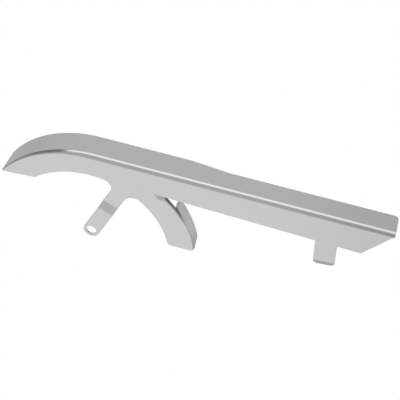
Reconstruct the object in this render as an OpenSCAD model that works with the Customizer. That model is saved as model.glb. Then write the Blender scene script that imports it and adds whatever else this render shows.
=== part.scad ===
// Upper belt guard for a motorcycle, pressed and folded from one piece of sheet steel and chromed.
// It covers the top of the drive belt from the rear pulley forward. Its side wall stands outboard of the
// belt, and its top flange is folded inboard over the belt. A curved arm ahead of the pulley carries a
// debris deflector.
// Millimetres. X runs forward along the straight run, Y runs inboard, Z runs up.
// The origin is the centre of the rear fixing hole, on the outer face of the bracket.

/* [Sheet] */
// Thickness of the steel sheet
sheet_t = 2.5; // [2:0.1:3]
// Outside radius of the long top fold
top_fold_r = 6; // [4.5:0.5:8]

/* [Hood over the rear pulley] */
// Radius of the hood about the pulley centre, to the outside of the sheet
hood_r = 150; // [146:1:158]
// Radius of the side wall's open edge about the pulley centre
wall_inner_r = 116; // [110:1:120]
// Distance of the rear end's cut from the pulley centre
rear_cut_h = 92.5; // [84:0.5:98]
// Slope of the rear end's cut, in degrees
rear_cut_tilt = 4.5; // [0:0.5:8]
// Radius of the rear end's lower corner
rear_corner_r = 2.5; // [1.5:0.5:5]

/* [Straight run] */
// Length of the run from above the pulley centre to the front end
run_l = 396; // [370:1:430]
// Depth of the side wall below the top, above the pulley centre
wall_h_rear = 35.3; // [34.5:0.1:38]
// Depth of the side wall below the top, at the front end
wall_h_front = 47.1; // [42:0.1:54]
// How far the lower front corner stands back from the front end
front_cut_back = 34; // [24:1:45]
// How far the side wall's front edge stands back from the front end at the fold
fold_relief = 2; // [1:0.5:4]
// Radius of the lower front corner
front_corner_r = 2; // [1.5:0.5:5]

/* [Top flange] */
// Depth of the flange over the pulley
flange_d_rear = 40; // [37:0.5:46]
// Depth of the flange along the run
flange_d_front = 34.5; // [31:0.5:36.5]
// Distance ahead of the pulley centre where the flange starts to narrow
narrowing_start = 125; // [100:1:140]
// Distance ahead of the pulley centre where the flange has narrowed
narrowing_end = 176; // [160:1:200]
// Radius of the flange's free corner at the front end
flange_corner_r = 6; // [3:0.5:10]

/* [Deflector arm] */
// Radius of the deflector about the pulley centre, to the outside of the sheet
deflector_r = 152; // [148:1:156]
// Outside radius of the deflector's fold
deflector_fold_r = 5; // [4:0.5:7]
// Depth of the deflector
deflector_d = 23; // [18:0.5:30]
// Angle of the deflector's upper end above the level of the pulley centre
deflector_top_a = 39; // [34:0.5:42]
// Depth of the turned rim that the arm has above the deflector
arm_rim_d = 3.3; // [2.8:0.1:4]
// Gap between the upper end of the arm's fold and the side wall's lower edge
arm_relief = 0.8; // [0.5:0.1:2]
// Height of the arm's lower end above the pulley centre
arm_foot_h = 27; // [20:0.5:34]
// Rise of the deflector's lower edge from the side wall to its free edge
deflector_rise = 8; // [4:0.5:11]
// Radius of the arm's inner lower corner
arm_corner_r = 4; // [2:0.5:7]

/* [Rear fixing bracket] */
// Width of the bracket
bracket_w = 22.5; // [20:0.5:26]
// Lean of the bracket from upright, in degrees
bracket_lean = 24.6; // [20:0.2:28]
// Distance of the fixing hole ahead of the pulley centre
hole_x = 5.7; // [4:0.1:8]
// Height of the fixing hole above the pulley centre
hole_z = 20.8; // [17:0.1:26]
// Diameter of the fixing hole
hole_d = 14; // [12:0.5:15]
// How far the bracket's end is stepped outboard of the side wall
step_out = 4.5; // [3:0.1:5]
// Distance from the fixing hole to the lower bend of the step
step_start = 43.7; // [38:0.1:46]
// Slope of the step, in degrees
step_a = 18; // [16:1:24]
// Inside radius of the step's two bends
step_bend_r = 4; // [3:0.5:5]
// Radius of the root between the bracket and the hood
rear_root_r = 12; // [9:0.5:15]
// Radius of the root between the bracket and the arm
front_root_r = 14; // [11:0.5:17]

/* [Front fixing tab] */
// Distance of the tab ahead of the pulley centre, where it leaves the side wall
tab_x = 316.8; // [290:0.1:330]
// Length of the tab from the side wall's lower edge to the underside of its foot
tab_l = 43; // [36:0.5:50]
// Width of the tab
tab_w = 28.2; // [25:0.1:32]
// Forward slope of the tab from upright, in degrees
tab_lean = 5.5; // [0:0.5:8]
// Outside radius of the bend between tab and foot
foot_bend_r = 8; // [6:0.5:10]
// Radius of the tab's lower corners
tab_corner_r = 3.5; // [2:0.5:5]
// Radius of the tab's two roots
tab_root_r = 2; // [1:0.5:4]
// Length of the foot from the tab's outer face
foot_l = 24; // [21:0.5:30]
// Radius of the foot's free corners
foot_corner_r = 4; // [2:0.5:6]
// Diameter of the hole in the foot
foot_hole_d = 8.5; // [6.5:0.5:9]
// Distance of the foot's hole from its free edge
foot_hole_edge = 8; // [7:0.5:9]

/* [Hidden] */
$fn = 128;

// How far shapes that join run into each other
join = 6;
// Reach of the outlines that trim others
reach = 600;
// How far the circle of a rounded corner or root runs past the edges that it meets
ease = 0.01;
// Number of flats in each of the step's bends
bend_facets = 6;

// Slope of the side wall's lower edge
edge_slope = (wall_h_front - wall_h_rear) / run_l;
// Radii at which the flat side wall ends and its folds begin
hood_flat_r = hood_r - top_fold_r;
arm_flat_r = deflector_r - deflector_fold_r;
// How far the hood is drawn past the cut of its rear end, in degrees
overrun_a = 4;
// Angle of the hood's rear end, past its cut
hood_end_a = 180 - asin(rear_cut_h / hood_r) + rear_cut_tilt + overrun_a;
// Angle at which the arm's fold starts, a relief gap under the side wall's lower edge
arm_edge_x = cut_x(arm_flat_r);
arm_fold_a = atan2(lower_edge_z(arm_edge_x), arm_edge_x) - asin(arm_relief / arm_flat_r);
// Slope of the deflector's lower edge
deflector_tilt = atan(deflector_rise / (deflector_d - sheet_t));

// The fixing hole in the frame that stands along the bracket, with the pulley centre as its zero
hole_across = hole_x * cos(bracket_lean) - hole_z * sin(bracket_lean);
hole_up = hole_x * sin(bracket_lean) + hole_z * cos(bracket_lean);
// Straight length and height of the step between the bracket's end and the side wall
step_flat_l = (step_out - (2 * step_bend_r + sheet_t) * (1 - cos(step_a))) / sin(step_a);
step_h = (2 * step_bend_r + sheet_t) * sin(step_a) + step_flat_l * cos(step_a);
step_low = hole_up + step_start;
step_top = step_low + step_h;

// Height of the side wall's lower edge at a distance ahead of the pulley centre
function lower_edge_z(x) = hood_r - wall_h_rear - edge_slope * x;
// Distance ahead of the pulley centre where a circle about it meets the lower edge
function cut_x(r) = let (z0 = hood_r - wall_h_rear, k = 1 + pow(edge_slope, 2))
    (z0 * edge_slope + sqrt(pow(r, 2) * k - pow(z0, 2))) / k;

// Stands an outline up in the plane of the side wall, from one depth to another inboard of its outer face
module plate(from = 0, to = sheet_t) {
    translate([0, to, 0]) rotate([90, 0, 0]) linear_extrude(to - from) children();
}

// Turns a section, drawn as radius and depth, about the pulley centre from angle a to angle b
module about_pulley(a, b) {
    rotate([90, 0, 0]) rotate([0, 0, a]) rotate_extrude(angle = b - a) mirror([0, 1]) children();
}

// Quarter section of a fold that turns from the side wall, at depth 0, to a flange at radius r
module fold_section(r, fold_r) {
    translate([r - fold_r, fold_r]) intersection() {
        difference() {
            circle(r = fold_r);
            circle(r = fold_r - sheet_t);
        }
        translate([0, -fold_r]) square(fold_r);
    }
}

// Section of the strip of side wall inside radius r, which a curved fold is joined by
module wall_lap(r) {
    translate([r - join, 0]) square([join, sheet_t]);
}

// Section of a flange at radius r, from its fold to its free edge
module flange_section(r, fold_r, depth) {
    translate([r - sheet_t, fold_r]) square([sheet_t, depth - fold_r]);
}

// What is trimmed off a corner p to round it, with the rounding's centre c and its ends t1 and t2
module round_trim(p, c, t1, t2, r) {
    past = 1 + join / r;
    difference() {
        polygon([c, c + past * (t1 - c), c + past * (p - c), c + past * (t2 - c)]);
        translate(c) circle(r = r + ease);
    }
}

// What is trimmed off a corner at p, where the two edges leave it in the directions a and b
module corner_trim(p, a, b, r) {
    half = (b - a) / 2;
    leg = r / tan(abs(half));
    centre = p + r / sin(abs(half)) * [cos(a + half), sin(a + half)];
    round_trim(p, centre, p + leg * [cos(a), sin(a)], p + leg * [cos(b), sin(b)], r);
}

// What is trimmed off the corner between the wall's inner edge and a level cut at height h, on the +X side
module inner_corner_trim(h, r) {
    corner = [sqrt(pow(wall_inner_r, 2) - pow(h, 2)), h];
    centre = [sqrt(pow(wall_inner_r + r, 2) - pow(h + r, 2)), h + r];
    round_trim(corner, centre, [centre.x, h], centre * wall_inner_r / (wall_inner_r + r), r);
}

// Outline of the flat side wall: hood, straight run and arm. The hood's rear end isn't cut yet.
module wall_outline() {
    front_low = run_l - front_cut_back;
    front_high = run_l - fold_relief;
    low_z = lower_edge_z(front_low);
    front_a = atan2(hood_flat_r - low_z, front_high - front_low);
    difference() {
        union() {
            intersection() {
                circle(r = hood_flat_r);
                translate([-reach, 0]) square([reach + join, reach]);
            }
            polygon([
                [0, hood_flat_r],
                [front_high, hood_flat_r],
                [front_low, low_z],
                [0, lower_edge_z(0)]
            ]);
            intersection() {
                circle(r = arm_flat_r);
                translate([0, arm_foot_h]) square([reach, lower_edge_z(0) - arm_foot_h]);
            }
        }
        circle(r = wall_inner_r);
        translate([-join, arm_foot_h - reach]) square([reach, reach]);
        inner_corner_trim(arm_foot_h, arm_corner_r);
        corner_trim([front_low, low_z], front_a, 180 - atan(edge_slope), front_corner_r);
    }
}

// What the sloping cut of the rear end takes off, with the rounding of its lower corner
module rear_cut() {
    rotate(rear_cut_tilt) {
        translate([-reach, rear_cut_h - reach]) square([reach, reach]);
        mirror([1, 0]) inner_corner_trim(rear_cut_h, rear_corner_r);
    }
}

// Root between the wall's inner edge and one edge of the bracket, in the frame along the bracket
module bracket_root(side, r) {
    edge = hole_across + side * bracket_w / 2;
    centre = [edge + side * r, sqrt(pow(wall_inner_r - r, 2) - pow(edge + side * r, 2))];
    difference() {
        polygon([
            [edge - side * join, centre.y],
            [edge - side * join, wall_inner_r + join],
            centre * (wall_inner_r + join) / (wall_inner_r - r),
            centre
        ]);
        translate(centre) circle(r = r + ease);
    }
}

// Upper part of the bracket, in the plane of the side wall, down to the step
module bracket_neck_outline() {
    rotate(-bracket_lean) {
        translate([hole_across - bracket_w / 2, step_top])
            square([bracket_w, wall_inner_r + join - step_top]);
        bracket_root(-1, rear_root_r);
        bracket_root(1, front_root_r);
    }
}

// Points along a bend of the step in section: centre c, radius r, from angle a to angle b
function bend_points(c, r, a, b) = [
    for (i = [0 : bend_facets]) let (t = a + (b - a) * i / bend_facets) c + r * [cos(t), sin(t)]
];

// Section of the step, drawn as depth and height along the bracket, lapping the flat parts at both ends
module step_section() {
    upper = [-step_bend_r, step_top];
    lower = [step_bend_r + sheet_t - step_out, step_low];
    polygon(concat(
        [[0, step_top + join]],
        bend_points(upper, step_bend_r, 0, -step_a),
        bend_points(lower, step_bend_r + sheet_t, 180 - step_a, 180),
        [[-step_out, step_low - join], [sheet_t - step_out, step_low - join]],
        bend_points(lower, step_bend_r, 180, 180 - step_a),
        bend_points(upper, step_bend_r + sheet_t, -step_a, 0),
        [[sheet_t, step_top + join]]
    ));
}

// Lower part of the bracket, stepped outboard, with its round end and fixing hole
module bracket_end() {
    rotate([0, bracket_lean, 0]) {
        translate([hole_across - bracket_w / 2, 0, 0]) rotate([90, 0, 90]) linear_extrude(bracket_w)
            step_section();
        plate(-step_out, sheet_t - step_out) difference() {
            union() {
                translate([hole_across, hole_up]) circle(d = bracket_w);
                translate([hole_across - bracket_w / 2, hole_up]) square([bracket_w, step_start]);
            }
            translate([hole_across, hole_up]) circle(d = hole_d);
        }
    }
}

// Plan of the straight flange: it narrows ahead of the pulley and has a round corner at the front end
module flange_plan() {
    difference() {
        polygon([
            [0, top_fold_r],
            [run_l, top_fold_r],
            [run_l, flange_d_front],
            [narrowing_end, flange_d_front],
            [narrowing_start, flange_d_rear],
            [0, flange_d_rear]
        ]);
        corner_trim([run_l, flange_d_front], 180, 270, flange_corner_r);
    }
}

// Top fold and flange: bent round over the pulley, then straight to the front end
module top_fold() {
    about_pulley(90, hood_end_a) {
        wall_lap(hood_flat_r);
        fold_section(hood_r, top_fold_r);
        flange_section(hood_r, top_fold_r, flange_d_rear);
    }
    rotate([90, 0, 90]) linear_extrude(run_l) translate([0, hood_r]) rotate(90) mirror([0, 1])
        translate([-hood_r, 0]) fold_section(hood_r, top_fold_r);
    translate([0, 0, hood_r - sheet_t]) linear_extrude(sheet_t) flange_plan();
}

// Debris deflector: its flange stops short of the side wall, and above it the arm keeps a low turned rim
module deflector() {
    difference() {
        about_pulley(0, arm_fold_a) {
            wall_lap(arm_flat_r);
            fold_section(deflector_r, deflector_fold_r);
            flange_section(deflector_r, deflector_fold_r, deflector_d);
        }
        plate(arm_rim_d, deflector_d + join) rotate(deflector_top_a) square(reach);
        plate(-join, deflector_d + join) translate([0, arm_foot_h - reach]) square([reach, reach]);
        translate([0, sheet_t, arm_foot_h]) rotate([deflector_tilt, 0, 0]) translate([0, -join, -reach])
            cube([reach, reach, reach]);
    }
}

// One root of the tab at the side wall's lower edge, in the frame along the tab
module tab_root(side) {
    edge_a = -atan(edge_slope) - tab_lean;
    wall_a = side > 0 ? edge_a : -180 + edge_a;
    half = (wall_a + 90) / 2;
    corner = side * tab_w / 2 * [1, tan(edge_a)];
    middle = [cos(half - 90), sin(half - 90)];
    centre = corner + tab_root_r / sin(abs(half)) * middle;
    leg = tab_root_r / tan(abs(half));
    difference() {
        polygon([
            corner - join * middle,
            corner + leg * [cos(wall_a), sin(wall_a)],
            centre,
            corner + leg * [0, -1]
        ]);
        translate(centre) circle(r = tab_root_r + ease);
    }
}

// Front fixing tab: it hangs from the side wall's lower edge and turns inboard to a foot with a bolt hole
module front_tab() {
    foot_w = tab_w - 2 * tab_corner_r;
    bend_z = foot_bend_r - tab_l;
    translate([tab_x, 0, lower_edge_z(tab_x)]) rotate([0, -tab_lean, 0]) {
        plate() {
            difference() {
                translate([-tab_w / 2, bend_z]) square([tab_w, join - bend_z]);
                corner_trim([-tab_w / 2, bend_z], 0, 90, tab_corner_r);
                corner_trim([tab_w / 2, bend_z], 90, 180, tab_corner_r);
            }
            tab_root(-1);
            tab_root(1);
        }
        translate([-foot_w / 2, 0, bend_z]) rotate([90, 0, 90]) linear_extrude(foot_w)
            translate([foot_bend_r, 0]) intersection() {
                difference() {
                    circle(r = foot_bend_r);
                    circle(r = foot_bend_r - sheet_t);
                }
                translate([-foot_bend_r, -foot_bend_r]) square(foot_bend_r);
            }
        translate([0, 0, -tab_l]) linear_extrude(sheet_t) difference() {
            translate([-foot_w / 2, foot_bend_r]) square([foot_w, foot_l - foot_bend_r]);
            corner_trim([-foot_w / 2, foot_l], 270, 360, foot_corner_r);
            corner_trim([foot_w / 2, foot_l], 180, 270, foot_corner_r);
            translate([0, foot_l - foot_hole_edge]) circle(d = foot_hole_d);
        }
    }
}

// The whole guard, one folded sheet
module belt_guard() {
    color("silver") translate([-hole_x, step_out, -hole_z]) {
        difference() {
            union() {
                plate() {
                    wall_outline();
                    bracket_neck_outline();
                }
                top_fold();
            }
            plate(-join, flange_d_rear + join) rear_cut();
        }
        bracket_end();
        deflector();
        front_tab();
    }
}

belt_guard();
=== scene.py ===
import math

import bmesh
import bpy
import numpy as np
from mathutils import Matrix, Vector
from mathutils.geometry import delaunay_2d_cdt


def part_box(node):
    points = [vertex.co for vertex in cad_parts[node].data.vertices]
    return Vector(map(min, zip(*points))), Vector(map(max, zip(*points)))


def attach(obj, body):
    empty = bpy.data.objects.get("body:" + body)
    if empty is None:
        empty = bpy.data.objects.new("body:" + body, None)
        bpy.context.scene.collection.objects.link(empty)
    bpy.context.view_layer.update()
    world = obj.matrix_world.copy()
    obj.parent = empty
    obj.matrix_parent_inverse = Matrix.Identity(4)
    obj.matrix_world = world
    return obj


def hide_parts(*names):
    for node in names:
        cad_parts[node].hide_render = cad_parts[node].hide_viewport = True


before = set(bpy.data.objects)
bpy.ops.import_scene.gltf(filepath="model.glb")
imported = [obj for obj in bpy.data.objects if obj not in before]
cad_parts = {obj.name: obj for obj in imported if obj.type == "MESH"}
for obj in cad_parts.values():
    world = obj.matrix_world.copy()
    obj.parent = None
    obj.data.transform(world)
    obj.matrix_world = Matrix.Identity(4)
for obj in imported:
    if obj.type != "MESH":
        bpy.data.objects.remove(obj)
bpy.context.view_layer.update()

# The guard's sheet
# One blank of 2.5 mm steel, sheared to its outline, pressed, polished and chrome plated. Folds over
# the belt along the top and the hood, a deflector turned in round the arm, an outboard step in the
# bracket and an inboard foot under the tab shape it. It is bolted on through the bracket and foot.

# Sizes in millimetres about the pulley centre, x forward, y inboard, z up. The sheet is worked out
# as its outer face, then thickened inward. The hood's fold tightens toward its end, and the arm's
# fold is widest at its foot.
sheet_t = 2.5
top_fold_r, hood_end_fold_r, hood_r, wall_inner_r = 6.0, 3.2, 150.0, 116.0
rear_cut_h, rear_cut_tilt, rear_corner_r = 92.5, 4.5, 2.5
run_l, wall_h_rear, wall_h_front = 396.0, 35.3, 47.1
front_cut_back, fold_relief, front_corner_r = 34.0, 2.0, 2.0
flange_d_rear, flange_d_front, flange_corner_r = 40.0, 34.5, 6.0
narrowing_start, narrowing_end = 125.0, 176.0
deflector_r, deflector_fold_r, arm_foot_fold_r = 152.0, 5.0, 7.0
deflector_d, deflector_top_a, deflector_rise = 23.0, 39.0, 8.0
arm_rim_d, arm_relief, arm_foot_h, arm_corner_r = 3.3, 0.8, 27.0, 4.0
bracket_w, bracket_lean, hole_x, hole_z, hole_d = 22.5, 24.6, 5.7, 20.8, 14.0
step_out, step_start, step_a, step_bend_r = 4.5, 43.7, 18.0, 4.0
rear_root_r, front_root_r = 12.0, 14.0
tab_x, tab_l, tab_w, tab_lean = 316.8, 43.0, 28.2, 5.5
tab_corner_r, tab_corner_low, tab_root_r = 3.5, 5.5, 2.0
foot_bend_r, foot_bend_h, foot_l, foot_corner_r = 8.0, 11.0, 24.0, 4.0
foot_hole_d, foot_hole_edge = 8.5, 8.0

edge_slope = (wall_h_front - wall_h_rear) / run_l
fold_l = math.pi / 2 * top_fold_r
wall_top, arm_edge_r = hood_r - top_fold_r, deflector_r - deflector_fold_r


def heading(degrees):
    """The unit step (cosine, sine) in a direction given in degrees."""
    return np.array([math.cos(math.radians(degrees)), math.sin(math.radians(degrees))])


def straight(p, q, pitch=4.0):
    """Points from p to q in equal steps of at most pitch."""
    p, q = np.asarray(p, float), np.asarray(q, float)
    count = max(1, math.ceil(np.linalg.norm(q - p) / pitch - 1e-6))
    return p + np.linspace(0, 1, count + 1)[:, None] * (q - p)


def arc(centre, p, q, pitch=1.6, least=8):
    """Points from p to q on their circle about centre, the short way round: centre + r (cos a, sin
    a)."""
    centre, p, q = (np.asarray(v, float) for v in (centre, p, q))
    r = np.linalg.norm(p - centre)
    a = math.atan2(*(p - centre)[::-1])
    swing = (math.atan2(*(q - centre)[::-1]) - a + math.pi) % (2 * math.pi) - math.pi
    count = max(least, math.ceil(abs(swing) * r / pitch))
    angles = a + swing * np.linspace(0, 1, count + 1)
    points = centre + r * np.stack([np.cos(angles), np.sin(angles)], axis=1)
    points[0], points[-1] = p, q
    return points


def rounding(p, a, b, r):
    """The arc of radius r that rounds a corner p, tangent to the edges that leave it in the
    directions a and b."""
    half = math.radians(abs(b - a) / 2)
    centre = np.asarray(p) + r / math.sin(half) * heading((a + b) / 2)
    return arc(centre, p + r / math.tan(half) * heading(a), p + r / math.tan(half) * heading(b))


def lower_edge(x):
    """Height of the wall's lower edge, which drops from wall_h_rear to wall_h_front below the top
    along the run."""
    return hood_r - wall_h_rear - edge_slope * x


def leaned(points):
    """The frame along the bracket turned into the wall's plane, clockwise by the bracket's lean."""
    (c, s), points = heading(bracket_lean), np.atleast_2d(points)
    x, z = points[:, 0] * c + points[:, 1] * s, points[:, 1] * c - points[:, 0] * s
    return np.stack([x, z], axis=1)


def tabbed(points):
    """The frame along the tab turned into the wall's plane by the tab's lean, and set at its place
    on the lower edge."""
    (c, s), points = heading(tab_lean), np.atleast_2d(points)
    x, z = points[:, 0] * c - points[:, 1] * s, points[:, 0] * s + points[:, 1] * c
    return np.stack([x + tab_x, z + lower_edge(tab_x)], axis=1)


def inner_corner(h, r):
    """The rounding between a level cut at height h and the wall's inner circle: from the cut to the
    circle."""
    centre = np.array([math.sqrt((wall_inner_r + r) ** 2 - (h + r) ** 2), h + r])
    return arc(centre, [centre[0], h], centre * wall_inner_r / (wall_inner_r + r))


def bracket_root(side, r):
    """The rounding between the wall's inner circle and one edge of the bracket, from the circle to
    the edge."""
    edge = hole_across + side * bracket_w / 2
    centre_x = edge + side * r
    centre = np.array([centre_x, math.sqrt((wall_inner_r - r) ** 2 - centre_x ** 2)])
    return leaned(arc(centre, centre * wall_inner_r / (wall_inner_r - r), [edge, centre[1]]))


# The fixing hole in the bracket's own frame, and the step's low and high lines above it
lean_c, lean_s = heading(bracket_lean)
hole_across = hole_x * lean_c - hole_z * lean_s
hole_up = hole_x * lean_s + hole_z * lean_c
step_c, step_s = heading(step_a)
both_bends_r = 2 * step_bend_r + sheet_t
step_slope_l = (step_out - both_bends_r * (1 - step_c)) / step_s
step_low = hole_up + step_start
step_top = step_low + both_bends_r * step_s + step_slope_l * step_c


def grid_faces(rows, columns):
    """Quads of a grid of rows x columns points, numbered along the rows."""
    first = (np.arange(rows - 1)[:, None] * columns + np.arange(columns - 1)).ravel()
    return np.stack([first, first + 1, first + columns + 1, first + columns], axis=1)


# Rows that the folds and flanges share, as turn of the fold in degrees and depth of the flange, and
# the number of equal steps along each of them
fold_turns = np.linspace(0, 90, 11)
hood_depths = np.linspace(top_fold_r, flange_d_rear, 9)
rim_turn = math.degrees(math.acos(1 - arm_rim_d / deflector_fold_r))
arm_turns = np.array([0, 10, 20, 30, 40, 50, 60, rim_turn, 80, 90])
hood_steps, arm_steps, rim_steps, deflector_rows, across = 40, 18, 12, 5, 8

# The arm's top, where the lower edge's line meets the circle on which the arm's fold starts. The
# fold itself ends one relief gap short of it.
edge_z, edge_square = hood_r - wall_h_rear, 1 + edge_slope ** 2
arm_edge_x = edge_slope * edge_z
arm_edge_x = (arm_edge_x + math.sqrt(arm_edge_r ** 2 * edge_square - edge_z ** 2)) / edge_square
arm_top = np.array([arm_edge_x, lower_edge(arm_edge_x)])
relief_a = math.degrees(math.asin(arm_relief / arm_edge_r))
arm_fold_a = math.degrees(math.atan2(*arm_top[::-1])) - relief_a


def turned_patch(outside_r, fold_from, fold_to, turns, free_d, depth_steps, first, last, steps):
    """A fold about the pulley and its flange. The fold's radius f eases from fold_from to fold_to
    along it. Row by row, radius outside_r - f + f sin t at depth f - f cos t, then radius outside_r
    at depths growing to free_d. Along each row the angle runs in equal steps between its two end
    cuts."""
    part = np.linspace(0, 1, steps + 1)
    f = fold_from + (fold_to - fold_from) * part * (2 - part)
    t = np.radians(turns)[:, None]
    level = (np.arange(1, depth_steps + 1) / max(depth_steps, 1))[:, None]
    flange = np.broadcast_to(outside_r, (depth_steps, steps + 1))
    radius = np.concatenate([outside_r - f + f * np.sin(t), flange])
    depth = np.concatenate([f - f * np.cos(t), f + (free_d - f) * level])
    a = np.radians(first(radius, depth) * (1 - part) + last(radius, depth) * part)
    points = np.stack([radius * np.cos(a), depth, radius * np.sin(a)], axis=-1)
    return points.reshape(-1, 3), grid_faces(len(radius), steps + 1)


def straight_out(degrees):
    """An end cut that points at the pulley's axis: the same angle at every radius and depth."""
    return lambda r, y: degrees


def hood_end(r, y):
    """Angle at which the rear cut meets radius r: 180 less the angle whose sine is the cut's height
    over r, plus the cut's tilt. The depth y doesn't change it."""
    return 180 - np.degrees(np.arcsin(rear_cut_h / r)) + rear_cut_tilt


def arm_foot(r, y):
    """Angle at which the deflector's lower edge meets radius r: the one whose sine is the edge's
    height over r. The height rises evenly with the depth y from the wall to the free edge."""
    rise = np.clip(y - sheet_t, 0, None) * deflector_rise / (deflector_d - sheet_t)
    return np.degrees(np.arcsin((arm_foot_h + rise) / r))


def hood_patch():
    """The hood, turned from upright to the rear cut."""
    return turned_patch(
        hood_r, top_fold_r, hood_end_fold_r, fold_turns, flange_d_rear, len(hood_depths) - 1,
        straight_out(90), hood_end, hood_steps,
    )


def arm_patch():
    """The arm's fold and the deflector, turned from its lower edge to its upper end."""
    return turned_patch(
        deflector_r, arm_foot_fold_r, deflector_fold_r, arm_turns, deflector_d, deflector_rows,
        arm_foot, straight_out(deflector_top_a), arm_steps,
    )


def rim_patch():
    """The arm's low rim, turned from the deflector's upper end to the slit."""
    return turned_patch(
        deflector_r, deflector_fold_r, deflector_fold_r, arm_turns[arm_turns <= rim_turn], 0, 0,
        straight_out(deflector_top_a), straight_out(arm_fold_a), rim_steps,
    )


# The arm's fold ends at a slit, sheared along the lower edge's line
slit_l, slit_pitch = 9.0, 1.0
slit_mouth, slit_reach = arm_edge_r * heading(arm_fold_a), slit_l * np.array([-1, edge_slope])
slit = [slit_mouth, slit_mouth + slit_reach, arm_top + slit_reach]


def tab_halves(steps):
    """Distances below the start of the foot's bend, and half the tab's width at each: the full
    width, then a quarter circle of tab_corner_r that ends tab_corner_low below the start."""
    a = np.linspace(0, math.pi / 2, steps + 1)
    low = tab_corner_low - tab_corner_r * (1 - np.sin(a))
    half = tab_w / 2 - tab_corner_r * (1 - np.cos(a))
    return np.concatenate([[0], low]), np.concatenate([[tab_w / 2], half])


def blank_outline():
    """The outline of the wall, the straight fold and the straight flange laid flat, anticlockwise
    from the hood's end: straight lines, arcs about the pulley and roundings, end to end. Its first
    coordinate is along the run, its second is height in the wall, then length of sheet past it."""
    rc, rs = heading(rear_cut_tilt)
    rear = inner_corner(rear_cut_h, rear_corner_r) * [-1, 1]
    rear = np.stack([rear[:, 0] * rc - rear[:, 1] * rs, rear[:, 0] * rs + rear[:, 1] * rc], axis=1)
    roots = bracket_root(-1, rear_root_r), bracket_root(1, front_root_r)[::-1]
    foot = inner_corner(arm_foot_h, arm_corner_r)[::-1]
    sill = leaned([[hole_across + side * bracket_w / 2, step_top] for side in (-1, 1)])
    edge_a = -math.degrees(math.atan(edge_slope)) - tab_lean
    half_w, bend_z = tab_w / 2, foot_bend_h - tab_l
    slope = math.tan(math.radians(edge_a))
    left_root = tabbed(rounding([-half_w, -half_w * slope], edge_a - 180, -90, tab_root_r))
    right_root = tabbed(rounding([half_w, half_w * slope], -90, edge_a, tab_root_r))
    toe = tabbed([[-half_w, bend_z], [half_w, bend_z]])
    front_low = np.array([run_l - front_cut_back, lower_edge(run_l - front_cut_back)])
    front_a = math.degrees(math.atan2(wall_top - front_low[1], front_cut_back - fold_relief))
    nose = rounding(front_low, 180 - math.degrees(math.atan(edge_slope)), front_a, front_corner_r)
    end_v = wall_top + fold_l - top_fold_r
    fold_v = wall_top + top_fold_r * np.radians(fold_turns)
    free = rounding([run_l, end_v + flange_d_front], 270, 180, flange_corner_r)
    arm_line = arm_patch()[0][: arm_steps + 1, [0, 2]]
    rim_line = rim_patch()[0][: rim_steps + 1, [0, 2]]
    pieces = [
        straight(hood_patch()[0][hood_steps, [0, 2]], rear[0]),
        rear,
        arc([0, 0], rear[-1], roots[0][0]),
        roots[0],
        straight(roots[0][-1], sill[0]),
        sill[0] + np.linspace(0, 1, across + 1)[:, None] * (sill[1] - sill[0]),
        straight(sill[1], roots[1][0]),
        roots[1],
        arc([0, 0], roots[1][-1], foot[0]),
        foot,
        straight(foot[-1], arm_line[0]),
        arm_line,
        rim_line,
        straight(slit[0], slit[1], slit_pitch),
        straight(slit[1], slit[2]),
        straight(slit[2], arm_top, slit_pitch),
        straight(arm_top, left_root[0]),
        left_root,
        straight(left_root[-1], toe[0]),
        toe[0] + np.linspace(0, 1, across + 1)[:, None] * (toe[1] - toe[0]),
        straight(toe[1], right_root[0]),
        right_root,
        straight(right_root[-1], nose[0]),
        nose,
        straight(nose[-1], [run_l - fold_relief, wall_top]),
        straight([run_l - fold_relief, wall_top], [run_l, wall_top]),
        np.stack([np.full(len(fold_v), run_l), fold_v], axis=1),
        straight([run_l, wall_top + fold_l], free[0]),
        free,
        straight(free[-1], [narrowing_end, end_v + flange_d_front]),
        straight([narrowing_end, end_v + flange_d_front], [narrowing_start, end_v + flange_d_rear]),
        straight([narrowing_start, end_v + flange_d_rear], [0, end_v + flange_d_rear]),
        np.stack([np.zeros(len(hood_depths)), end_v + hood_depths[::-1]], axis=1),
        np.stack([np.zeros(len(fold_v)), fold_v[::-1]], axis=1),
        hood_patch()[0][: hood_steps + 1, [0, 2]],
    ]
    points, same_spot = np.concatenate(pieces), 1e-7
    keep = np.linalg.norm(points - np.roll(points, 1, axis=0), axis=1) > same_spot
    return points[keep]


def within(points, outline):
    """Whether each point is inside the outline: a level line from it crosses the outline an odd
    number of times."""
    a, b = outline, np.roll(outline, -1, axis=0)
    px, py = points[:, 0, None], points[:, 1, None]
    spans = (a[:, 1] > py) != (b[:, 1] > py)
    rise = np.where(b[:, 1] == a[:, 1], 1, b[:, 1] - a[:, 1])
    crossed = px < (b[:, 0] - a[:, 0]) * (py - a[:, 1]) / rise + a[:, 0]
    return (spans & crossed).sum(axis=1) % 2 == 1


def off_edge(points, loops):
    """How far each point is from the loops: the least of its distances to their straight pieces,
    each taken at the place along the piece that is nearest."""
    a = np.concatenate(loops)
    d = np.concatenate([np.roll(loop, -1, axis=0) for loop in loops]) - a
    p = points[:, None] - a
    t = np.clip((p * d).sum(axis=2) / (d * d).sum(axis=1), 0, 1)
    return np.min(np.linalg.norm(p - t[..., None] * d, axis=2), axis=1)


def inset(loop, by):
    """The loop's points moved by mm to its left, along the mean of the normals of the two pieces
    that meet there."""
    d = np.roll(loop, -1, axis=0) - loop
    d = d / np.linalg.norm(d, axis=1)[:, None]
    along = d + np.roll(d, 1, axis=0)
    along = along / np.linalg.norm(along, axis=1)[:, None]
    return loop + by * np.stack([-along[:, 1], along[:, 0]], axis=1)


# A row of points runs this far inside every cut edge, which the rounded rim needs. A point of the
# row or of the lattice stays only if it is this many times that distance from every edge.
rim_inset, row_clear, lattice_clear = 1.2, 0.85, 1.6


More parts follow.
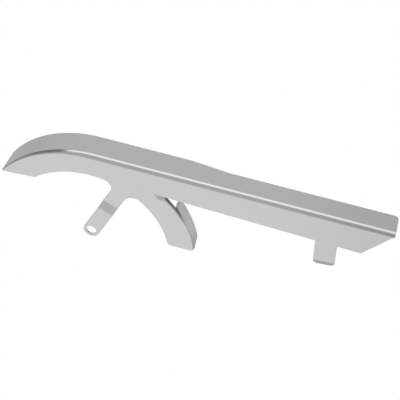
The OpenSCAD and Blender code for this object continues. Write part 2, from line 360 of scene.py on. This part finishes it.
def filled(outline, lattice, hole=None):
    """Triangles that fill an outline, with a round hole left out: the edges, the row inside them
    and the lattice's points that are clear of both, joined by Delaunay's rule."""
    loops = [outline] if hole is None else [outline, hole]
    edge = np.concatenate(loops)
    starts = np.cumsum([0] + [len(loop) for loop in loops])
    ends = [np.arange(a, b) for a, b in zip(starts, starts[1:])]
    rims = np.concatenate([np.stack([i, np.roll(i, -1)], axis=1) for i in ends]).tolist()
    row = np.concatenate([inset(loop, by) for loop, by in zip(loops, (rim_inset, -rim_inset))])
    row = row[off_edge(row, loops) > row_clear * rim_inset]
    inner = lattice[off_edge(lattice, loops) > lattice_clear * rim_inset]
    inner = np.concatenate([row, inner])
    inner = inner[within(inner, outline)]
    if hole is not None:
        inner = inner[~within(inner, hole)]
    inside_edges, merged_within = 1, 1e-6
    found = delaunay_2d_cdt(
        np.concatenate([edge, inner]).tolist(), rims, [], inside_edges, merged_within
    )
    points, faces = np.array(found[0]), np.array(found[2])
    middle = points[faces].mean(axis=1)
    keep = within(middle, outline)
    if hole is not None:
        keep &= ~within(middle, hole)
    return points, faces[keep]


def folded(flat):
    """The wall, straight fold and flange from the flat blank. Up to wall_top the sheet is upright.
    A length s past it turns by s over the fold's radius, to depth r - r cos t and height r sin t,
    up to a quarter turn, and what is left of s runs level inboard."""
    x, v = flat[:, 0], flat[:, 1]
    turn = np.clip((v - wall_top) / top_fold_r, 0, math.pi / 2)
    past = np.clip(v - wall_top - fold_l, 0, None)
    depth = top_fold_r * (1 - np.cos(turn)) + past
    height = np.minimum(v, wall_top) + top_fold_r * np.sin(turn)
    return np.stack([x, depth, height], axis=1)


# The blank's lattice, and a closer one under the slit: its columns are offsets from the arm's top,
# its rows are depths below the lower edge's line, and its box is two corners about the arm's top
lattice_pitch, lattice_x, lattice_z = 4.0, -124, 20
close_columns = np.arange(-20, 6, 1.0)
close_rows = np.array(
    [-2.4, -1.2, -0.4, 0.6, 1.3, 2.0, 2.8, 3.6, 4.6, 5.6, 6.8, 8.0, 9.2, 10.6, 12.0, 13.6, 15.2]
)
close_box = np.array([[-21, -17], [7, 4]])


def lattice_of(columns, rows):
    """Every pair of a column's place and a row's place, as points."""
    return np.stack(np.meshgrid(columns, rows), axis=-1).reshape(-1, 2)


def blank_patch():
    """The flat blank filled on a lattice whose upper rows are the fold's and the flange's, and on
    the closer one, whose rows slope with the lower edge. Then it is folded."""
    wall_rows = np.arange(wall_top, lattice_z, -lattice_pitch)[::-1]
    fold_rows = wall_top + top_fold_r * np.radians(fold_turns[1:])
    flange_rows = wall_top + fold_l - top_fold_r + hood_depths[1:]
    rows = np.concatenate([wall_rows, fold_rows, flange_rows])
    lattice = lattice_of(np.arange(lattice_x, run_l, lattice_pitch), rows)
    close = lattice_of(close_columns, close_rows)
    close = arm_top + close[:, :1] * [1, -edge_slope] - close[:, 1:] * [0, 1]
    from_top = lattice - arm_top
    near = ((from_top > close_box[0]) & (from_top < close_box[1])).all(axis=1)
    flat, faces = filled(blank_outline(), np.concatenate([lattice[~near], close]))
    return folded(flat), faces


def swept_patch(section, x_from, x_to, steps):
    """A strip: the section's points (depth, height), one row each, run straight across from x_from
    to x_to in equal steps. Either end may be one number, or one for each row."""
    x_from, x_to = (np.broadcast_to(x, len(section))[:, None] for x in (x_from, x_to))
    part = np.linspace(0, 1, steps + 1)
    across_x = x_from * (1 - part) + x_to * part
    depth, height = (np.broadcast_to(section[:, [i]], across_x.shape) for i in (0, 1))
    points = np.stack([across_x, depth, height], axis=-1)
    return points.reshape(-1, 3), grid_faces(len(section), steps + 1)


def stood(points, frame_of):
    """Points (across, depth, height) of a leaned frame set upright in the wall's frame."""
    flat = frame_of(points[:, [0, 2]])
    return np.stack([flat[:, 0], points[:, 1], flat[:, 1]], axis=1)


# Points along each arc of the step and round the bracket's end and hole, with the pitch of those on
# the step's slope and inside the bracket's end
step_rows, step_pitch, bowl_points, bracket_pitch, hole_points = 7, 2.5, 33, 2.8, 48


def step_patch():
    """The step: an arc of step_bend_r, a straight slope, and an arc wider by the sheet, swept
    across the bracket."""
    t = np.radians(np.linspace(0, step_a, step_rows))
    wide = step_bend_r + sheet_t
    c, s, tight = np.cos(t), np.sin(t), step_bend_r
    high = np.stack([tight * c - tight, step_top - tight * s], axis=1)
    low = np.stack([wide - step_out - wide * c, step_low + wide * s], axis=1)[::-1]
    slope = straight(high[-1], low[0], step_pitch)[1:-1]
    section = np.concatenate([high, slope, low])
    half = bracket_w / 2
    points, faces = swept_patch(section, hole_across - half, hole_across + half, across)
    return stood(points, leaned), faces


def ring(centre, r, count):
    """A circle of count points: centre + r (cos a, sin a) at equal steps of a."""
    a = np.linspace(0, 2 * math.pi, count, endpoint=False)
    return np.asarray(centre) + r * np.stack([np.cos(a), np.sin(a)], axis=1)


def bracket_patch():
    """The bracket's end: straight sides down to a half circle about the fixing hole, set outboard
    by the step."""
    half = bracket_w / 2
    left, right = hole_across - half, hole_across + half
    a = np.radians(np.linspace(180, 360, bowl_points))
    bowl = np.array([hole_across, hole_up]) + half * np.stack([np.cos(a), np.sin(a)], axis=1)
    sill = np.stack([np.linspace(right, left, across + 1), np.full(across + 1, step_low)], axis=1)
    left_side = straight([left, step_low], bowl[0])[1:]
    right_side = straight(bowl[-1], [right, step_low])[1:-1]
    outline = np.concatenate([left_side, bowl[1:], right_side, sill])
    columns = np.arange(left + bracket_pitch, right, bracket_pitch)
    lattice = lattice_of(columns, np.arange(hole_up - half, step_low, bracket_pitch))
    flat, faces = filled(outline, lattice, ring([hole_across, hole_up], hole_d / 2, hole_points))
    end = np.stack([flat[:, 0], np.full(len(flat), -step_out), flat[:, 1]], axis=1)
    return stood(end, leaned), faces


# Rows of points round the tab's corners and round the rest of its bend, the pitch of those inside
# the foot, and the points round its hole
corner_rows, bend_rows, foot_pitch_x, foot_pitch_y, foot_hole_points = 4, 9, 2.6, 2.0, 40


def foot_patches():
    """The tab's bend and its level foot. The bend is a quarter ellipse, foot_bend_r deep and
    foot_bend_h high, round which the tab's corners run out: depth r - r cos t, drop h sin t. The
    foot has two round corners and a bolt hole."""
    low, halves = tab_halves(corner_rows)
    t, half = np.arcsin(low / foot_bend_h), halves[-1]
    t = np.concatenate([t, np.linspace(t[-1], math.pi / 2, bend_rows + 1)[1:]])
    halves = np.concatenate([halves, np.full(bend_rows, half)])
    height = foot_bend_h - tab_l - foot_bend_h * np.sin(t)
    section = np.stack([foot_bend_r - foot_bend_r * np.cos(t), height], axis=1)
    bend, bend_faces = swept_patch(section, -halves, halves, across)
    heel_x = np.linspace(-half, half, across + 1)
    heel = np.stack([heel_x, np.full(across + 1, foot_bend_r)], axis=1)
    right_corner = rounding([half, foot_l], 270, 180, foot_corner_r)
    left_corner = rounding([-half, foot_l], 360, 270, foot_corner_r)
    outline = np.concatenate([
        heel,
        straight(heel[-1], right_corner[0])[1:-1],
        right_corner,
        straight(right_corner[-1], left_corner[0])[1:-1],
        left_corner,
        straight(left_corner[-1], heel[0])[1:-1],
    ])
    columns = np.arange(foot_pitch_x - half, half, foot_pitch_x)
    lattice = lattice_of(columns, np.arange(foot_bend_r + foot_pitch_y, foot_l, foot_pitch_y))
    hole = ring([0, foot_l - foot_hole_edge], foot_hole_d / 2, foot_hole_points)
    flat, faces = filled(outline, lattice, hole)
    foot = np.stack([flat[:, 0], flat[:, 1], np.full(len(flat), -tab_l)], axis=1)
    return [(stood(bend, tabbed), bend_faces), (stood(foot, tabbed), faces)]


def facing(points, faces, outward):
    """The faces wound so that their normals add up along outward, which is a function of the
    patch's points."""
    p = points[faces]
    normals = np.cross(p[:, 1] - p[:, 0], p[:, 2] - p[:, 0])
    return faces if (normals * outward(p.mean(axis=1))).sum() > 0 else faces[:, ::-1]


# How far the corner under the slit is drawn in, how far to its left, how far down and past the
# slit's end that eases off, with the powers of the two easings and the ramp at the slit's end. It
# takes the arm's points only: past arm_x, under the edge's line, and within the deflector's circle.
drawn_d, drawn_l, drawn_h, drawn_edge = 3.0, 13.0, 14.0, 2.4
left_power, down_power, end_start, end_ramp = 1.5, 2.5, 1, 3
arm_x, under_line, past_circle = 60, 0.25, 1


def drawn_in(points):
    """Moves the corner under the slit inboard: by drawn_d at the slit, easing off over drawn_l to
    its left and over drawn_h below it. Past the slit's end it starts from nothing over drawn_edge.
    Beside it the rim keeps its own depth, and only its start moves."""
    x, y, z = points.T
    d = lower_edge(x) - z
    along = np.clip(1 - (arm_top[0] - x) / drawn_l, 0, 1) ** left_power
    down = np.clip(1 - d / drawn_h, 0, 1) ** down_power
    past_end = np.clip((arm_top[0] - slit_l - x + end_start) / end_ramp, 0, 1)
    down = down * (1 - past_end * (1 - np.clip(d / drawn_edge, 0, 1)))
    arm = (d > under_line) & (x > arm_x)
    arm &= (np.hypot(x, z) < deflector_r + past_circle) & (y < arm_rim_d)
    moved = points.copy()
    moved[:, 1] += np.where(arm, drawn_d * along * down * (1 - y / arm_rim_d), 0)
    return moved


def out_of_wall(p):
    """Outboard, as the wall, the step and the bracket's end face."""
    return np.broadcast_to([0.0, -1.0, 0.0], p.shape)


def out_of_blank(p):
    """Outboard at less depth than the fold's radius, and upward above wall_top."""
    return np.stack(
        [0 * p[:, 0], -1.0 * (p[:, 1] < top_fold_r), 1.0 * (p[:, 2] > wall_top)], axis=1
    )


def under_foot(p):
    """Outboard and down alike, as the tab's bend and foot face."""
    return np.broadcast_to([0.0, -1.0, -1.0], p.shape)


def from_pulley(p):
    """Straight away from the pulley's axis by the point's distance, with 40 mm outboard added."""
    outboard = 40.0
    return p * [1.0, 0.0, 1.0] + [0.0, -outboard, 0.0]


def sheet_patches():
    """Every patch of the sheet with its outward direction: blank, hood, arm, rim, step, bracket's
    end, tab's bend and foot."""
    patches = [
        (*blank_patch(), out_of_blank),
        (*hood_patch(), from_pulley),
        (*arm_patch(), from_pulley),
        (*rim_patch(), from_pulley),
        (*step_patch(), out_of_wall),
        (*bracket_patch(), out_of_wall),
    ]
    return patches + [(*patch, under_foot) for patch in foot_patches()]


# Metres in a millimetre, the pulley centre's place from the fixing hole, and in metres the
# distances at which points count as one and an edge counts as nothing
mm, pulley_at, one_point, no_edge = 0.001, np.array([-hole_x, step_out, -hole_z]), 2e-6, 1e-7
rim_r, rim_segments, rim_angle = 0.5, 3, 50


def sheet_mesh(name):
    """One mesh of all the patches in metres about the fixing hole, with the rows they share
    merged."""
    points, faces, count = [], [], 0
    for p, f, outward in sheet_patches():
        points.append(p)
        faces += (facing(p, f, outward) + count).tolist()
        count += len(p)
    points = (drawn_in(np.concatenate(points)) + pulley_at) * mm
    mesh = bpy.data.meshes.new(name)
    mesh.from_pydata(points.tolist(), [], faces)
    work = bmesh.new()
    work.from_mesh(mesh)
    bmesh.ops.remove_doubles(work, verts=work.verts, dist=one_point)
    bmesh.ops.dissolve_degenerate(work, edges=work.edges, dist=no_edge)
    work.to_mesh(mesh)
    work.free()
    mesh.shade_smooth()
    return mesh


# The sheet's thickness is laid on inward, and every cut edge is rounded as polishing leaves it
sheet = bpy.data.objects.new("guard_sheet", sheet_mesh("guard_sheet"))
bpy.context.scene.collection.objects.link(sheet)
solid = sheet.modifiers.new("thickness", "SOLIDIFY")
solid.thickness, solid.offset, solid.use_even_offset = sheet_t * mm, -1.0, False
rims = sheet.modifiers.new("rims", "BEVEL")
rims.width, rims.segments, rims.limit_method = rim_r * mm, rim_segments, "ANGLE"
rims.angle_limit, rims.use_clamp_overlap = math.radians(rim_angle), False
even = sheet.modifiers.new("even_normals", "WEIGHTED_NORMAL")
even.keep_sharp = False

# Bright chrome. Buffing lines and a bloom of the plating roughen its gloss a little, the lines by
# lines_share of the bloom's weight. The sheet's waves and the lines stand so many metres high.
chrome_colour, lines_share, wave_h, buff_h = (0.84, 0.845, 0.85, 1), 0.6, 0.00006, 0.0000012
least_mark, most_mark, smoothest, roughest = 0.5, 1.1, 0.06, 0.13


def noise(place, scale, detail):
    """Cloud noise of the place's coordinates, with scale waves to a unit and detail finer layers
    over them."""
    node = nodes.new("ShaderNodeTexNoise")
    node.inputs["Scale"].default_value = scale
    node.inputs["Detail"].default_value = detail
    links.new(place, node.inputs["Vector"])
    return node.outputs["Fac"]


def raised(height, distance, normal=None):
    """The normal, tilted by the slope of height times distance."""
    node = nodes.new("ShaderNodeBump")
    node.inputs["Strength"].default_value = 1.0
    node.inputs["Distance"].default_value = distance
    links.new(height, node.inputs["Height"])
    if normal is not None:
        links.new(normal, node.inputs["Normal"])
    return node.outputs["Normal"]


chrome = bpy.data.materials.new("bright_chrome")
chrome.use_nodes = True
nodes, links = chrome.node_tree.nodes, chrome.node_tree.links
shader = nodes["Principled BSDF"]
shader.inputs["Base Color"].default_value = chrome_colour
shader.inputs["Metallic"].default_value = 1.0
place = nodes.new("ShaderNodeTexCoord").outputs["Object"]
# Buffing lines: noise drawn out along the run
drawn_out = nodes.new("ShaderNodeMapping")
drawn_out.inputs["Scale"].default_value = (60, 1500, 1500)
links.new(place, drawn_out.inputs["Vector"])
lines = noise(drawn_out.outputs["Vector"], scale=1.0, detail=3.0)
# Bloom: broad patches where the plating is a little less bright
bloom = noise(place, scale=28.0, detail=4.0)
marks = nodes.new("ShaderNodeMath")
marks.operation = "MULTIPLY_ADD"
marks.inputs[1].default_value = lines_share
links.new(lines, marks.inputs[0])
links.new(bloom, marks.inputs[2])
gloss = nodes.new("ShaderNodeMapRange")
gloss.inputs["From Min"].default_value = least_mark
gloss.inputs["From Max"].default_value = most_mark
gloss.inputs["To Min"].default_value = smoothest
gloss.inputs["To Max"].default_value = roughest
links.new(marks.outputs[0], gloss.inputs["Value"])
links.new(gloss.outputs["Result"], shader.inputs["Roughness"])
# Waviness of the rolled sheet under the plating, and the lines over it
waved = raised(noise(place, scale=70.0, detail=1.0), wave_h)
links.new(raised(lines, buff_h, waved), shader.inputs["Normal"])
sheet.data.materials.append(chrome)
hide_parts("belt_guard")
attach(sheet, "root")

# The studio floor
# A white sheet that the guard is pictured over. It glows, plain white to the camera. What the
# chrome mirrors of it is painted light and shade: brightest close in front of the guard, and
# falling off in painted shade under it, behind it and to the far sides.
floor_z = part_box("belt_guard")[0].z
span = 6.0
corners = [(-span, -span), (span, -span), (span, span), (-span, span)]
floor_mesh = bpy.data.meshes.new("floor")
floor_mesh.from_pydata([(*corner, floor_z) for corner in corners], [], [(0, 1, 2, 3)])
floor = bpy.data.objects.new("floor", floor_mesh)
bpy.context.scene.collection.objects.link(floor)
pale = bpy.data.materials.new("pale_floor_painted_shade")
pale.use_nodes = True
nodes, links = pale.node_tree.nodes, pale.node_tree.links
nodes.clear()


def ranged(value, low, high, to_low=0.0, to_high=1.0):
    """The value's place between low and high, eased at both ends, on the scale from to_low to
    to_high."""
    node = nodes.new("ShaderNodeMapRange")
    node.interpolation_type = "SMOOTHSTEP"
    ends = {"From Min": low, "From Max": high, "To Min": to_low, "To Max": to_high}
    for socket, number in ends.items():
        node.inputs[socket].default_value = number
    links.new(value, node.inputs["Value"])
    return node.outputs["Result"]


def sum_of(operation, *values):
    """One arithmetic step on two or three values, any of which may be a plain number."""
    node = nodes.new("ShaderNodeMath")
    node.operation = operation
    for socket, value in zip(node.inputs, values):
        if isinstance(value, (int, float)):
            socket.default_value = value
        else:
            links.new(value, socket)
    return node.outputs[0]


def blend(part, a, b):
    """a where part is 0 and b where it is 1."""
    node = nodes.new("ShaderNodeMix")
    node.data_type = "FLOAT"
    for name, value in (("Factor", part), ("A", a), ("B", b)):
        if isinstance(value, (int, float)):
            node.inputs[name].default_value = value
        else:
            links.new(value, node.inputs[name])
    return node.outputs["Result"]


out = nodes.new("ShaderNodeOutputMaterial")
glow = nodes.new("ShaderNodeEmission")
split = nodes.new("ShaderNodeSeparateXYZ")
links.new(nodes.new("ShaderNodeTexCoord").outputs["Object"], split.inputs[0])
x, y = split.outputs["X"], split.outputs["Y"]
# The floor's painted greys as the chrome mirrors them, and where they change, in metres: first a
# painted falloff from close in front of the guard to far in front of it
near_grey, front_grey, far_grey = 0.69, 0.50, 0.46
grey = blend(ranged(y, -0.15, -0.23), near_grey, front_grey)
grey = blend(ranged(y, -0.32, -0.50), grey, far_grey)
# Painted shade under it: darker under the hood than under the run, and by the tab the change lies
# tab_shift nearer the eye
painted_shade_under_hood, painted_shade_under_run, tab_shift = 0.38, 0.45, 0.045
under_y = sum_of("ADD", y, ranged(x, 0.27, 0.288, 0.0, tab_shift))
painted_shade_under_mask = ranged(under_y, -0.004, 0.005)
grey = blend(painted_shade_under_mask, grey, ranged(x, 0.27, 0.288, painted_shade_under_hood, painted_shade_under_run))
# Painted shade behind it, the same way, and past its middle all is a tenth dimmer
painted_shade_behind_hood, painted_shade_behind_run, past_middle = 0.455, 0.53, 0.9
grey = blend(ranged(y, 0.02, 0.10), grey, ranged(x, -0.1, 0.3, painted_shade_behind_hood, painted_shade_behind_run))
grey = sum_of("MULTIPLY", grey, ranged(x, 0.18, 0.42, 1.0, past_middle))
# Painted shade at both far sides, the right one along a line that leans by side_lean
painted_shade_left, painted_shade_right, side_lean = 0.30, 0.34, -0.178
left = sum_of("MULTIPLY", ranged(x, -0.3, -0.6), ranged(y, 0.25, 0.0))
right = ranged(sum_of("MULTIPLY_ADD", y, side_lean, x), 0.46, 0.60)
grey = blend(left, grey, painted_shade_left)
grey = blend(sum_of("MULTIPLY", right, ranged(y, 0.1, -0.1)), grey, painted_shade_right)
seen_direct = nodes.new("ShaderNodeLightPath").outputs["Is Camera Ray"]
links.new(blend(seen_direct, grey, 1.0), glow.inputs["Strength"])
links.new(glow.outputs["Emission"], out.inputs["Surface"])
floor_mesh.materials.append(pale)

# The studio light
# A long soft box of white cloth hangs over the guard, with a paler ceiling behind it, a dim wall in
# front, and dark flags on stands low down at both ends. The camera itself sees plain white.
world = bpy.data.worlds.new("studio")
bpy.context.scene.world = world
world.use_nodes = True
nodes, links = world.node_tree.nodes, world.node_tree.links
nodes.clear()
out = nodes.new("ShaderNodeOutputWorld")
back = nodes.new("ShaderNodeBackground")
split = nodes.new("ShaderNodeSeparateXYZ")
links.new(nodes.new("ShaderNodeTexCoord").outputs["Generated"], split.inputs[0])
x, y, z = split.outputs["X"], split.outputs["Y"], split.outputs["Z"]
# Greys by height in degrees, from the level in front, over the top, to the level behind
height = sum_of("ARCTAN2", z, sum_of("MULTIPLY", y, -1.0))
ramp = nodes.new("ShaderNodeValToRGB")
stops = [
    (-30, 0.44), (5, 0.42), (46, 0.42), (62, 0.52), (82, 0.98),
    (104, 1.0), (120, 0.66), (136, 0.50), (180, 0.46),
]
ramp.color_ramp.interpolation = "EASE"
while len(ramp.color_ramp.elements) < len(stops):
    ramp.color_ramp.elements.new(0.5)
for spot, (angle, grey) in zip(ramp.color_ramp.elements, stops):
    spot.position = (angle + 180) / 360
    spot.color = (grey, grey, grey, 1)
turn = nodes.new("ShaderNodeMapRange")
turn.inputs["From Min"].default_value = -math.pi
turn.inputs["From Max"].default_value = math.pi
links.new(height, turn.inputs["Value"])
links.new(turn.outputs["Result"], ramp.inputs["Fac"])
# The flags, placed by a direction's parts along x, y and z: the left one is darker the higher up,
# the right one is darkest, and the box is a tenth dimmer on its right
left_low, left_high, right_flag, box_right = 0.28, 0.17, 0.14, 0.9
left = sum_of("MULTIPLY", ranged(x, -0.50, -0.66), ranged(y, 0.64, 0.42))
right = sum_of("MULTIPLY", ranged(x, -0.06, 0.26), ranged(z, 0.60, 0.42))
grey = blend(left, ramp.outputs["Color"], ranged(z, 0.15, 0.42, left_low, left_high))
grey = blend(sum_of("MULTIPLY", right, ranged(z, -0.03, 0.08)), grey, right_flag)
grey = sum_of("MULTIPLY", grey, ranged(x, -0.05, 0.06, 1.0, box_right))
seen_direct = nodes.new("ShaderNodeLightPath").outputs["Is Camera Ray"]
links.new(blend(seen_direct, grey, 1.0), back.inputs["Color"])
links.new(back.outputs[0], out.inputs["Surface"])

# The camera
# It looks down on the guard from in front and a little from the right, rolled by 8 degrees, with
# the lens that fits the photograph. The eye's offsets are metres from the pulley's centre along the
# camera's own axes, and the focal length is in pixels of a picture photo_w wide.
turn_a, rise_a, roll_a = (math.radians(v) for v in (10.0359, 43.4271, 7.7467))
eye_right, eye_up, eye_back = 0.1546835, 0.0514777, 1.3382134
focal_px, photo_w, film_w = 967.4445, 400, 36
flat_back = math.cos(rise_a)
back_dir = Vector((math.sin(turn_a) * flat_back, -math.cos(turn_a) * flat_back, math.sin(rise_a)))
level = Vector((math.cos(turn_a), math.sin(turn_a), 0))
upright = back_dir.cross(level)
right = math.cos(roll_a) * level + math.sin(roll_a) * upright
up = -math.sin(roll_a) * level + math.cos(roll_a) * upright
eye = (eye_right * right + eye_up * up + eye_back * back_dir) + Vector((pulley_at * mm).tolist())
lens = bpy.data.cameras.new("camera")
lens.sensor_width = film_w
lens.lens = focal_px * film_w / photo_w
camera = bpy.data.objects.new("camera", lens)
camera.matrix_world = Matrix.Translation(eye) @ Matrix((right, up, back_dir)).transposed().to_4x4()
bpy.context.scene.collection.objects.link(camera)
bpy.context.scene.camera = camera
bpy.context.scene.view_settings.view_transform = "Standard"
